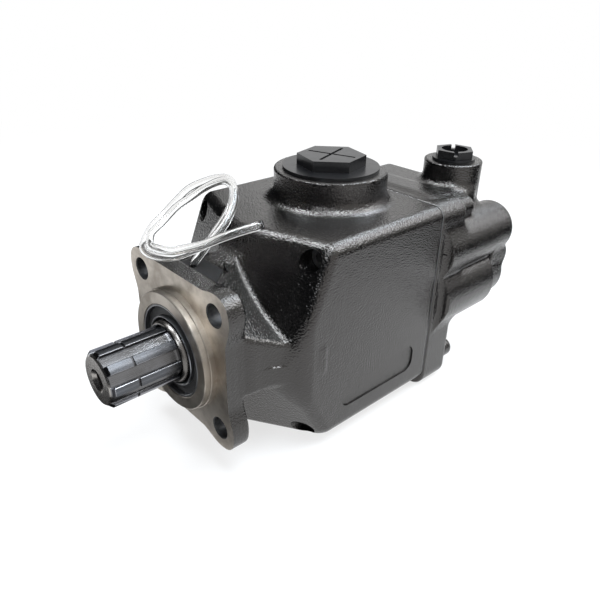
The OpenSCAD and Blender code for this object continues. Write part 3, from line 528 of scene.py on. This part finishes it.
def prism(name, outline, low, high, axis="z"):
    """A closed solid with a flat outline of (u, v) points, between two places on an axis."""
    order = {"z": (0, 1, 2), "y": (1, 2, 0), "x": (2, 0, 1)}[axis]
    rows = [(u, v, w) for w in (low, high) for u, v in outline]
    points = [[row[k] for k in order] for row in rows]
    n = len(outline)
    faces = [(k, (k + 1) % n, n + (k + 1) % n, n + k) for k in range(n)]
    faces += [tuple(range(n))[::-1], tuple(range(n, 2 * n))]
    return mesh_object(name, points, faces, smooth=False)


def block(name, low, high):
    (x0, y0, z0), (x1, y1, z1) = low, high
    return prism(name, [(x0, y0), (x1, y0), (x1, y1), (x0, y1)], z0, z1)


def rounded_outline(low, high, r):
    """A rectangle's outline with round corners, as (u, v) points."""
    (u0, v0), (u1, v1) = low, high
    middles = [(u0 + r, v0 + r), (u1 - r, v0 + r), (u1 - r, v1 - r), (u0 + r, v1 - r)]
    outline = []
    for k, (u, v) in enumerate(middles):
        for angle in np.radians(180 + 90 * k + np.arange(0, 91, 15)):
            outline.append((u + r * math.cos(angle), v + r * math.sin(angle)))
    return outline


def bake_down(piece):
    """The piece's modifiers, worked into its mesh."""
    graph = bpy.context.evaluated_depsgraph_get()
    mesh = bpy.data.meshes.new_from_object(piece.evaluated_get(graph))
    old, piece.data = piece.data, mesh
    piece.modifiers.clear()
    bpy.data.meshes.remove(old)


def machine(piece, tool, way="DIFFERENCE"):
    step = piece.modifiers.new(way, "BOOLEAN")
    step.operation, step.object, step.solver = way, tool, "MANIFOLD"
    bake_down(piece)
    old = tool.data
    bpy.data.objects.remove(tool)
    bpy.data.meshes.remove(old)


def dress(piece, slot, nodes, body=PUMP):
    piece.data.materials.clear()
    piece.data.materials.append(FINISHES[slot])
    piece.data.shade_smooth()
    piece.data.set_sharp_from_angle(angle=math.radians(32))
    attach(piece, body)
    if nodes:
        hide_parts(*nodes)


def faces_of(piece):
    """Each face's middle in millimetres, and its normal."""
    count = len(piece.data.polygons)
    middle, normal = np.empty(3 * count), np.empty(3 * count)
    piece.data.polygons.foreach_get("center", middle)
    piece.data.polygons.foreach_get("normal", normal)
    return middle.reshape(-1, 3) / MM, normal.reshape(-1, 3)


def face_finish(piece, name, chosen):
    """Gives the chosen faces a second finish."""
    piece.data.materials.append(FINISHES[name])
    index = np.zeros(len(piece.data.polygons), np.int32)
    piece.data.polygons.foreach_get("material_index", index)
    index[chosen] = len(piece.data.materials) - 1
    piece.data.polygons.foreach_set("material_index", index)


# Main housing

HALF_W, TOP, BOTTOM, SEAM, SEAM_CHAMFER = 67.0, 72.0, 69.0, 171.5, 1.1
UPPER_FACE, LOWER_FACE = (14.4, 0.35, 0.41), (-10.0, 0.63, 0.51)
FLANGE_T, FLANGE_WAIST, FLANGE_TOP, EAR_R = 12.5, 49.4, 52.0, 13.0
HOLE_AT, HOLE_R = 40.0, 7.0
PILOT_R, PILOT_END, SEAL_R = 40.0, -8.0, 31.0
FRONT_BEARING_R, CHAMBER_R = 34, 57
SCREW_X, SCREW_Z = 55.0, 61.4
SCREWS = [(x, z) for x in (-SCREW_X, SCREW_X) for z in (-SCREW_Z, SCREW_Z)]
SUCTION_Y, SUCTION_R, SUCTION_TOP, SUCTION_FOOT = 128.0, 39.3, 92.7, 8.0
SCOOP_TURN, SCOOP_LEAN, SCOOP_SLIDE, SCOOP_R, SCOOP_AT = 39.4, 22.2, 25.7, 116.0, 59.9
FLANK_AT, FLANK_R, FLANK_Y = 106.0, 54.0, 10.5
HOLLOW_AT, HOLLOW_R = 74.8, 63.3
NOTCH_Z, NOTCH_R = -60.7, 11.3
MILLED_Z, MILLED_Y, MILLED_R = 50.0, 27.0, 22.7


def front_faces(x, y, z, peak, side, rise):
    slope = math.sqrt(1 + side**2 + rise**2)
    return (peak + side * np.abs(x) + rise * np.abs(z) - y) / slope


def slanted_rod(x, y, z):
    """Distance to the big slanted cylinder that hollows one upper shoulder of the neck."""
    turn = math.radians(SCOOP_TURN)
    lean, slide = (math.tan(math.radians(a)) for a in (SCOOP_LEAN, SCOOP_SLIDE))
    out = np.array((math.cos(turn), 0, math.sin(turn)))
    across = np.array((-math.sin(turn), 0, math.cos(turn)))
    way = np.array((0, 1, 0)) - out * lean + across * slide
    way /= np.linalg.norm(way)
    start = out * (SCOOP_AT + SCOOP_R) + np.array((0, FLANGE_T, 0))
    u, v, w = x - start[0], y - start[1], z - start[2]
    along = u * way[0] + v * way[1] + w * way[2]
    return np.sqrt(u * u + v * v + w * w - along * along) - SCOOP_R


def chamfered_end(solid, shell, past):
    """The solid with the edge broken where its shell ends; past is the distance beyond the end plane."""
    return meet(solid, (shell + past + SEAM_CHAMFER) * 0.707)


def housing_field(x, y, z):
    side = np.abs(x)
    # box, with its sloping front faces
    upper = front_faces(x, y, z, *UPPER_FACE)
    lower = meet(front_faces(x, y, z, *LOWER_FACE), FLANGE_T - y)
    shell = round_box(x, z, (-HALF_W, -BOTTOM), (HALF_W, TOP), 8.0)
    body = meet(shell, np.where(z > 0, upper, lower), 5.0)
    body = meet(body, y - SEAM - 2.0)
    # neck between the flange and the box: flared flanks, two scoops above and two hollows below
    flare = FLANK_R - np.hypot(side - FLANK_AT, y - FLANK_Y)
    flank = np.where(y > FLANK_Y, flare, side - FLANK_AT + FLANK_R)
    neck = meet(round_box(x, z, (-66.5, -68), (66.5, 71), 4.0), slab(y, 6.0, 62.0))
    neck = meet(neck, flank, 14.0)
    for s in (-1, 1):
        neck = meet(neck, -slanted_rod(s * x, y, z), 2.5)
        neck = meet(neck, -rod(s * x, z, (HOLLOW_AT, -HOLLOW_AT), HOLLOW_R), 2.0)
    notch = join(rod(y, z, (FLANK_Y, NOTCH_Z), NOTCH_R), meet(y - 21.5, z - NOTCH_Z))
    neck = cut(neck, notch, 1.0)
    neck = cut(neck, meet(50.5 - z, y - 24.0))
    both = join(meet(body, flank, 4.0), neck, 3.0)
    # suction boss with its foot
    boss = meet(rod(x, y, (0, SUCTION_Y), SUCTION_R), slab(z, 40.0, SUCTION_TOP), 1.2)
    both = join(both, boss, SUCTION_FOOT)
    # flange
    outline = round_box(x, z, (-FLANGE_WAIST, -FLANGE_WAIST), (FLANGE_WAIST, FLANGE_WAIST), 4.0)
    ears = rod(side, np.abs(z), (HOLE_AT, HOLE_AT), EAR_R)
    outline = join(outline, ears, 9.0)
    outline = join(outline, round_box(x, z, (-HOLE_AT, 0), (HOLE_AT, FLANGE_TOP), 1.0), 1.0)
    flange = meet(outline, slab(y, -4.0, FLANGE_T), 2.2)
    both = join(both, flange, 2.5)
    return chamfered_end(both, shell, y - SEAM)


def milled_rise():
    """What the cutter takes off behind the leak block, as (y, z) points: flat, then curving up."""
    angles = np.radians(np.arange(-8, 91, 6))
    middle = MILLED_Z + MILLED_R - 0.3
    arc = [(MILLED_Y + MILLED_R * math.sin(a), middle - MILLED_R * math.cos(a)) for a in angles]
    return [(FLANGE_T, MILLED_Z), *arc, (MILLED_Y + MILLED_R, 120.0), (FLANGE_T, 120.0)]


def make_housing():
    housing = skin("housing_casting", housing_field, (-71, -6, -73), (71, 175, 97), GRID)
    machine(housing, block("front_plane", (-80, -30, -80), (80, 0, 80)))
    machine(housing, block("seam_plane", (-80, SEAM, -90), (80, 200, 100)))
    machine(housing, block("milled_top", (-60, FLANGE_T, MILLED_Z), (60, MILLED_Y, 120)))
    machine(housing, prism("milled_rise", milled_rise(), -12.5, 12.5, "x"))
    pilot = [
        (PILOT_END, 30), (PILOT_END, 38.7), (-7.5, 39.2), (-4, 39.2), (-4, 39.6),
        (-3.6, PILOT_R), (2, PILOT_R), (2, 30),
    ]
    machine(housing, lathe("pilot", pilot), "UNION")
    bore = [
        (-9, 32), (PILOT_END, 31.5), (-7.5, SEAL_R), (1, SEAL_R), (1, 33), (2.8, 33), (2.8, SEAL_R),
        (25, SEAL_R), (25, 27), (28, 27), (28, FRONT_BEARING_R), (56, FRONT_BEARING_R),
        (56, CHAMBER_R), (190, CHAMBER_R),
    ]
    machine(housing, lathe("bores", bore))
    for x in (-HOLE_AT, HOLE_AT):
        for z in (-HOLE_AT, HOLE_AT):
            machine(housing, bar("flange_hole", (-1, 14), HOLE_R, (x, z), chamfer=(0, 0.6)))
    screw = [(0, 6.8), (74, 6.8), (74, 4.2), (180, 4.2)]
    for x, z in SCREWS:
        machine(housing, lathe("screw_hole", screw, (x, 0, z)))
    suction = [(50, 23), (91.7, 23), (92.9, 24.2)]
    machine(housing, lathe("suction_bore", suction, (0, SUCTION_Y, 0), "z"))
    leak = [(-16.2, 12.4), (25.2, 12.4), (12.2, 27.2), (-11.2, 27.2)]
    machine(housing, prism("leak_pocket", leak, 43, 60))
    panel = rounded_outline((80, -51), (155, -29), 8)
    machine(housing, prism("side_panel", panel, 66.0, 70.0, "x"))
    dress(housing, "cast_black", ["main_housing"])
    middle, normal = faces_of(housing)
    x, y, z = middle.T
    radius = np.hypot(x, z)
    front = (np.abs(y) < 0.02) & (normal[:, 1] < -0.99)
    turned = (y < 26) & (radius < PILOT_R + 0.3)
    from_hole = np.hypot(np.abs(x) - HOLE_AT, np.abs(z) - HOLE_AT) - HOLE_R
    face_finish(housing, "turned_face", front | turned)
    face_finish(housing, "dark_steel", (y < FLANGE_T - 0.01) & (np.abs(from_hole) < 0.7))


make_housing()


# Rear cover, with its pressure tower and the barrels of the control piston and the regulator

COVER_FRONT, COVER_BACK, COVER_END, COVER_FOOT = 172.0, 200.0, 239.0, 78.0
CONTROL, CONTROL_R = (52.5, 34), 21.5
REGULATOR, REGULATOR_R = (46.5, -3.5), 29.0
TOWER, TOWER_R, TOWER_TOP = (30, 229), 21.6, 88.0
SIDE_MARK, SIDE_MARK_R = (188, -6), 17.0


def cover_field(x, y, z):
    shell = round_box(x, z, (-HALF_W, -COVER_FOOT), (HALF_W, TOP), 12.0)
    solid = meet(shell, slab(y, 168.0, COVER_BACK), 2.5)
    for px, pz in SCREWS:
        solid = join(solid, meet(rod(x, z, (px, pz), 7.6), slab(y, 180.0, 217.0), 4.0), 3.0)
    control = meet(rod(x, z, CONTROL, CONTROL_R), slab(y, 180.0, 242.0))
    regulator = meet(rod(x, z, REGULATOR, REGULATOR_R), slab(y, 180.0, 242.0))
    solid = join(solid, join(control, regulator, 3.0), 5.0)
    web = meet(round_box(x, z, (-35, 8), (CONTROL[0], TOP), 8.0), slab(y, 180.0, 229.0), 4.0)
    solid = join(solid, web, 5.0)
    tower = meet(rod(x, y, TOWER, TOWER_R), slab(z, 20.0, TOWER_TOP), 1.2)
    tower = meet(tower, join(56.0 - z, y - COVER_END))
    solid = join(solid, tower, 6.0)
    bearing = meet(rod(x, z, (0, 0), 32.5), slab(y, 180.0, 205.0), 2.0)
    solid = join(solid, bearing, 3.0)
    mark = meet(meet(rod(y, z, SIDE_MARK, SIDE_MARK_R), slab(x, 50.0, 67.4)), slab(y, 173.5, 198.0))
    solid = join(solid, mark)
    return chamfered_end(solid, shell, COVER_FRONT - y)


def make_cover():
    cover = skin("cover_casting", cover_field, (-70, 166, -81), (77, 254, 91), GRID)
    machine(cover, block("cover_front", (-90, 150, -90), (90, COVER_FRONT, 100)))
    machine(cover, block("regulator_face", (10, COVER_END, -40), (90, 260, 56)))
    machine(cover, lathe("rear_bearing_seat", [(150, 27.5), (193.5, 27.5)]))
    machine(cover, bar("control_bore", (203, 260), 12.0, CONTROL))
    machine(cover, bar("rod_hole", (150, 204), 5.05, CONTROL))
    spool = [(184, 7), (216, 7), (216, 15), (260, 15)]
    machine(cover, lathe("spool_bore", spool, (REGULATOR[0], 0, REGULATOR[1])))
    port = [(22, 6), (68, 6), (68, 12), (87, 12), (88.2, 13.2)]
    machine(cover, lathe("port_bore", port, (*TOWER, 0), "z"))
    machine(cover, bar("shaft_relief", (150, 196.5), 18.0))
    scratch = [(174.5, 36.4), (185, 33.6), (185, 34.5), (174.5, 37.3)]
    machine(cover, prism("side_scratch", scratch, 66.6, 69.0, "x"))
    for place in SCREWS:
        machine(cover, bar("screw_thread", (150, 211), 4.0, place))
    dress(cover, "cast_black", ["rear_cover"])


make_cover()


# Regulator body

def regulator_field(x, y, z):
    control = meet(rod(x, z, CONTROL, 20.5), slab(y, 230.0, 264.0), 7.0)
    body = meet(rod(x, z, REGULATOR, 24.0), slab(y, 230.0, 264.0), 6.0)
    web = meet(round_box(x, z, (33.5, -3.5), (63.0, 34.0), 4.0), slab(y, 230.0, 261.0), 3.0)
    solid = join(join(control, body, 3.0), web, 2.0)
    boss = meet(rod(y, z, (252.5, 13), 12.0), slab(x, 40.0, 69.0), 1.2)
    return join(solid, boss, 2.0)


def make_regulator():
    body = skin("regulator_casting", regulator_field, (20, 228, -32), (76, 267, 58), GRID * 0.8)
    machine(body, block("regulator_front", (0, 200, -60), (100, COVER_END, 90)))
    spring = [(230, 15), (251.5, 15), (251.5, 5), (270, 5)]
    machine(body, lathe("spring_bore", spring, (REGULATOR[0], 0, REGULATOR[1])))
    machine(body, bar("control_end_bore", (230, 247), 9.0, CONTROL))
    screw = [(230, 2.2), (251, 2.2), (251, 3.7), (280, 3.7)]
    for px, pz in ((38, 17), (60.5, 47.4), (32.9, -17.1), (60.1, -17.1)):
        machine(body, lathe("regulator_screw", screw, (px, 0, pz)))
    dress(body, "cast_black", ["regulator_body"])


make_regulator()


# Splined shaft: rings of points whose grooves deepen and run out

SPLINES, CREST_R, ROOT_R, SPLINE_W = 8, 18.0, 16.0, 6.0
TIP_Y, MARK_Y = -55.6, -38.6


def spline_ring(y, root, crest):
    """One section of the splines: from groove to crest and back, with narrow chamfers on the crests."""
    points = []
    half, chamfer = SPLINE_W / 2, 0.35 if crest - root > 0.4 else 0.0
    foot, shoulder = math.asin(half / root), math.asin(half / (crest - chamfer))
    edge, flat = math.asin((half - chamfer) / crest), math.asin(half / crest) * 0.4
    groove = 2 * math.pi / SPLINES - 2 * foot
    for k in range(SPLINES):
        middle = 2 * math.pi * k / SPLINES
        turns = [
            (-foot, root), (-shoulder, crest - chamfer), (-edge, crest), (-flat, crest),
            (flat, crest), (edge, crest), (shoulder, crest - chamfer), (foot, root),
        ]
        turns += [(foot + groove * share, root) for share in (0.25, 0.5, 0.75)]
        points += [(r * math.sin(middle + a), y, r * math.cos(middle + a)) for a, r in turns]
    return points


def make_shaft():
    # tip with its chamfer, a groove across the crests, and the runout of the cutter
    rows = [
        (TIP_Y, 14.9, 15.0), (TIP_Y + 0.8, 15.7, 15.8),
        (TIP_Y + 1.4, ROOT_R, 16.6), (TIP_Y + 2.8, ROOT_R, CREST_R),
        (MARK_Y - 0.1, ROOT_R, CREST_R), (MARK_Y + 0.1, ROOT_R, 17.0),
        (MARK_Y + 1.3, ROOT_R, 17.0), (MARK_Y + 1.5, ROOT_R, CREST_R),
    ]
    for share in (0, 0.25, 0.5, 0.75, 1):
        rows.append((-13.0 + 6.0 * share, ROOT_R + (CREST_R - 0.02 - ROOT_R) * share**2, CREST_R))
    rings = [spline_ring(*row) for row in rows]
    count = len(rings[0])
    angle = [math.atan2(x, z) for x, _, z in rings[-1]]
    rear = [
        (-6.6, 18.0), (-5.4, 19.2), (-4.6, 19.7), (-4.2, 20.0), (44.0, 20.0), (44.3, 20.0),
        (44.3, 25.0), (51.3, 25.0), (51.3, 17.0), (174.0, 17.0), (174.0, 15.0), (194.5, 15.0),
    ]
    rings += [[(r * math.sin(a), y, r * math.cos(a)) for a in angle] for y, r in rear]
    faces = capped(len(rings), count)
    shaft = mesh_object("splined_shaft", [p for ring in rings for p in ring], faces, smooth=False)
    tip = [(-56, 8.0), (TIP_Y + 0.02, 7.4), (TIP_Y + 2.2, 5.3), (TIP_Y + 26, 5.1), (TIP_Y + 28, 2.0)]
    machine(shaft, lathe("tip_hole", tip, sides=48))
    dress(shaft, "machined_steel", ["drive_shaft"], "rotating_group")
    shaft.data.materials[0] = FINISHES["shaft_steel"]
    shaft.data.set_sharp_from_angle(angle=math.radians(24))


make_shaft()


# Seals round the shaft: a dust seal in the pilot's mouth, its wear ring on the shaft, and the shaft seal

def ring(name, section, slot, nodes=(), body=PUMP, sides=96):
    """A closed section of (y, radius) points, turned about the shaft."""
    angle = 2 * np.pi * np.arange(sides) / sides
    points = [(r * math.cos(a), y, r * math.sin(a)) for y, r in section for a in angle]
    faces = [face[::-1] for face in bands(len(section), sides, closed=True)]
    piece = mesh_object(name, points, faces)
    dress(piece, slot, nodes, body)
    return piece


def make_seals():
    ring("outer_lip_seal", [
        (3.0, 30.9), (3.0, 24.6), (3.5, 24.2), (5.6, 23.9), (6.6, 22.6), (5.0, 21.9),
        (3.6, 21.4), (2.9, 20.2), (3.3, 20.1), (4.6, 20.9), (6.4, 21.2), (7.0, 20.1),
        (7.5, 20.1), (8.6, 21.6), (9.9, 23.4), (9.9, 30.9),
    ], "seal_rubber", ["outer_seal"])
    wear_ring = ring("wear_ring", [
        (-9.9, 18.1), (-10.3, 18.7), (-10.1, 19.4), (-9.4, 20.0),
        (-7.6, 20.6), (-4.6, 20.7), (-4.3, 20.2), (-4.3, 18.1),
    ], "machined_steel", body="rotating_group")
    wear_ring.data.materials[0] = FINISHES["shaft_steel"]
    ring("dust_seal_case", [
        (-7.4, 29.5), (-7.7, 29.8), (-7.7, 30.6), (-7.4, 30.95), (-1.6, 30.95), (-1.6, 29.5),
    ], "machined_steel")
    ring("dust_seal_band", [
        (-7.2, 22.1), (-7.6, 22.5), (-7.6, 23.0), (-7.2, 23.4), (-2.4, 23.4), (-2.4, 22.1),
    ], "machined_steel")
    ring("dust_seal_rubber", [
        (-4.6, 29.5), (-4.0, 27.4), (-4.0, 25.2), (-4.8, 23.4), (-2.4, 23.4), (-2.4, 22.1),
        (-4.4, 21.6), (-5.4, 20.9), (-5.0, 20.8), (-3.4, 21.2), (-1.6, 21.6), (-1.6, 29.5),
    ], "seal_rubber")


make_seals()


# Studio: a pale floor, soft lamps, and dark cards around that only reflections show

FLOOR_Z, FLOOR_SIZE = -78.2, 6000
CARD_Z = FLOOR_Z + 0.5
WHITE, WARM = (1.0, 1.0, 1.0), (1.0, 0.95, 0.90)


def seen_rays(tree):
    """1 for what the camera sees, straight, in a gloss or through the clear tube."""
    camera, gloss, through = (Wire(tree, None).node("LightPath", output=k) for k in (0, 3, 6))
    return camera.maths("MAXIMUM", gloss).maths("MAXIMUM", through)


def floor_finish():
    material = bpy.data.materials.new("floor")
    material.use_nodes = True
    tree = material.node_tree
    shader = tree.nodes["Principled BSDF"]
    shader.inputs["Base Color"].default_value = (0.85, 0.85, 0.85, 1)
    shader.inputs["Roughness"].default_value = 0.9
    shader.inputs["Specular IOR Level"].default_value = 0.0
    light = tree.nodes.new("ShaderNodeEmission")
    mix = tree.nodes.new("ShaderNodeMixShader")
    place = Wire(tree, None).node("TexCoord", output=3)
    far = place.node("VectorMath", {"operation": "LENGTH"}, output=1, i0=place).band(0.35, 1.1)
    tree.links.new((seen_rays(tree) * (far * 0.28 + 0.72)).socket, mix.inputs[0])
    tree.links.new(shader.outputs[0], mix.inputs[1])
    tree.links.new(light.outputs[0], mix.inputs[2])
    tree.links.new(mix.outputs[0], tree.nodes["Material Output"].inputs["Surface"])
    return material


def dark_card(name, corners, material):
    card = mesh_object(name, corners, [range(len(corners))])
    card.data.materials.append(material)
    card.visible_camera = card.visible_diffuse = card.visible_shadow = card.visible_transmission = False


def lying(*outline):
    """The corners of a flat card just over the floor."""
    return [(x, y, CARD_Z) for x, y in outline]


def strip(x0, x1, y0, y1):
    return lying((x0, y0), (x1, y0), (x1, y1), (x0, y1))


def wall(start, end, high):
    """The corners of an upright card over the line between two (x, y) places."""
    return [(*start, CARD_Z), (*end, CARD_Z), (*end, high), (*start, high)]


def make_studio():
    reach = FLOOR_SIZE / 2
    around = ((-1, -1), (1, -1), (1, 1), (-1, 1))
    floor = mesh_object("floor", [(x * reach, y * reach, FLOOR_Z) for x, y in around], [range(4)])
    floor.data.materials.append(floor_finish())
    black = bpy.data.materials.new("dark_card")
    black.use_nodes = True
    matt = black.node_tree.nodes["Principled BSDF"]
    matt.inputs["Base Color"].default_value = (0.01, 0.01, 0.01, 1)
    matt.inputs["Specular IOR Level"].default_value = 0.0
    for name, corners in (
        ("front_card", wall((-1500, -900), (1300, -900), 1500)),
        ("front_strip", strip(-700, 1100, -900, -330)),
        # painted shadow: a dark card on the floor just in front of the flange that stands in for the pump's
        # shade on the floor, seen only in reflections
        ("reflected_floor_shadow", lying((-95, -128), (60, -128), (60, -20), (-230, -20), (-230, -105), (-95, -105))),
        ("left_card", wall((-1000, -600), (-1000, 700), 900)),
        ("back_strip", strip(140, 1600, 430, 1100)),
        ("back_card", wall((140, 1100), (1600, 1100), 60)),
    ):
        dark_card(name, corners, black)
    world = bpy.data.worlds.new("studio")
    world.use_nodes = True
    tree = world.node_tree
    background = tree.nodes["Background"]
    seen = seen_rays(tree)
    tree.links.new(seen.color(WARM, WHITE).socket, background.inputs["Color"])
    tree.links.new((seen * 0.55 + 0.45).socket, background.inputs["Strength"])
    bpy.context.scene.world = world
    for name, place, size, power, color in (
        ("overhead", (0.42, 0.02, 1.0), 0.5, 12, (0.86, 0.93, 1.0)),
        ("above_left", (-0.36, -0.12, 1.0), 0.4, 9, (0.88, 0.94, 1.0)),
        ("back_right", (0.75, 0.95, 1.0), 0.7, 14, (0.92, 0.96, 1.0)),
        ("back", (0.05, 0.9, 1.15), 0.6, 12, (0.82, 0.91, 1.0)),
        ("front_right", (0.50, -0.75, 0.72), 0.3, 4, (0.88, 0.94, 1.0)),
    ):
        data = bpy.data.lights.new(name, "AREA")
        data.size, data.energy, data.color = size, power, color
        lamp = bpy.data.objects.new(name, data)
        lamp.location = place
        lamp.rotation_euler = (Vector((0, 0.09, 0)) - lamp.location).to_track_quat("-Z", "Y").to_euler()
        bpy.context.scene.collection.objects.link(lamp)
    bpy.context.scene.view_settings.view_transform = "Standard"


make_studio()
